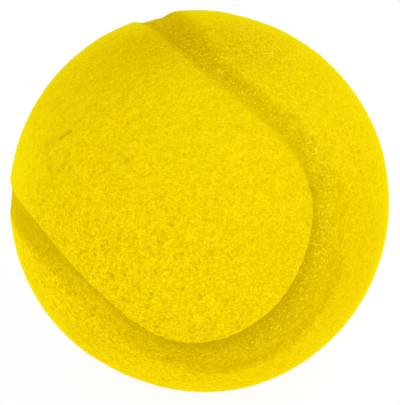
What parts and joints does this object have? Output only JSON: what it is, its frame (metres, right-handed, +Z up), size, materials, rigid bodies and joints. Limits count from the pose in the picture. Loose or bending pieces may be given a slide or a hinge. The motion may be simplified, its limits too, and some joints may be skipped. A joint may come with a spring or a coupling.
{
  "type": "soft tennis ball",
  "caption": "Soft foam ball with a broad tennis-style seam groove between dog-bone cover panels, for gentle play and practice.",
  "frame": {"origin": "middle of the resting patch under the ball, straight below its centre", "axes": "+Z up through the ball's centre, -Y towards the front panel's round end, +X to the right of it"},
  "size_m": [0.0699, 0.07, 0.0695],
  "materials": {
    "core_foam": "matte open-cell foam",
    "panel_foam": "matte open-cell foam",
    "band_foam": "matte foam with a smooth pressed skin"
  },
  "bodies": {
    "root": {"foam_core": "core_foam", "cover_panel_front": "panel_foam", "cover_panel_back": "panel_foam", "seam_band": "band_foam"}
  },
  "joints": []
}
